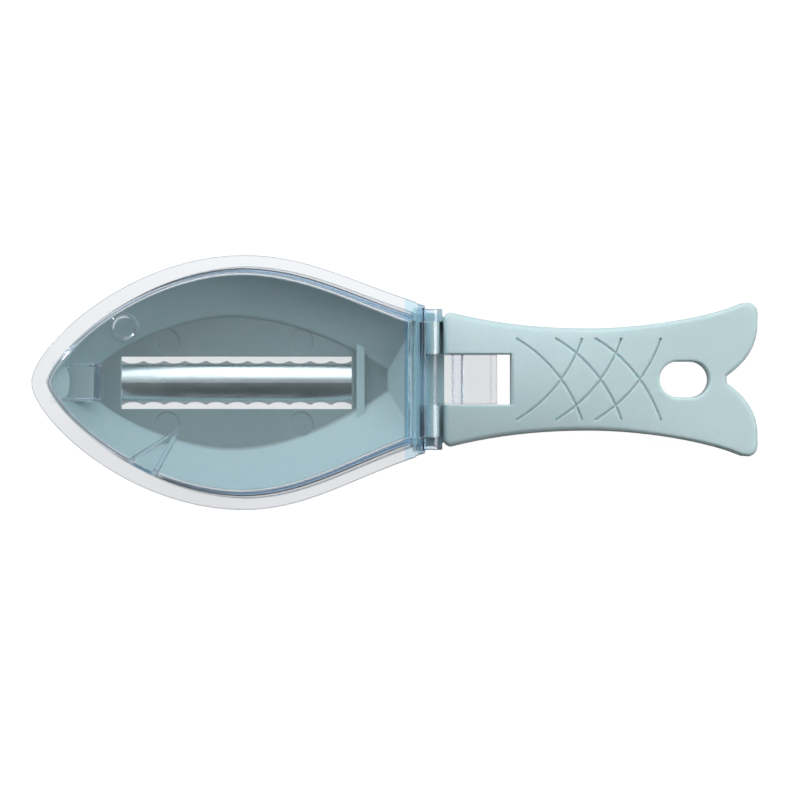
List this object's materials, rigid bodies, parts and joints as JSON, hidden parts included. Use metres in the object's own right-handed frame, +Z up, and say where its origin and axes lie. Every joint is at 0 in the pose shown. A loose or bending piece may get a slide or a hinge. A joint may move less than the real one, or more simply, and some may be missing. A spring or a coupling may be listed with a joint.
{
  "type": "fish scaler",
  "caption": "Hand fish scaler: bowl with a toothed steel strip in its floor, clear hinged lid that holds the scales, and a flat handle with a hanging hole.",
  "frame": {"origin": "centre of the bounding box in plan, at the tips of the blade's teeth, on which the tool stands", "axes": "+X from the nose to the tail, +Y across the tool, +Z up through the lid"},
  "size_m": [0.1997, 0.07, 0.0329],
  "materials": {
    "body_plastic": "satin moulded plastic, pale blue-green",
    "clear_plastic": "clear glossy moulded plastic",
    "blade_steel": "stamped stainless strip"
  },
  "bodies": {
    "base": {"body": "body_plastic", "blade": "blade_steel"},
    "lid": {"lid": "clear_plastic"}
  },
  "joints": [
    {"name": "lid_hinge", "type": "hinge", "parent": "base", "child": "lid", "pos_m": [0.01, 0.00085, 0.0155], "axis": [0, 1, 0], "range_deg": [0, 70]}
  ]
}
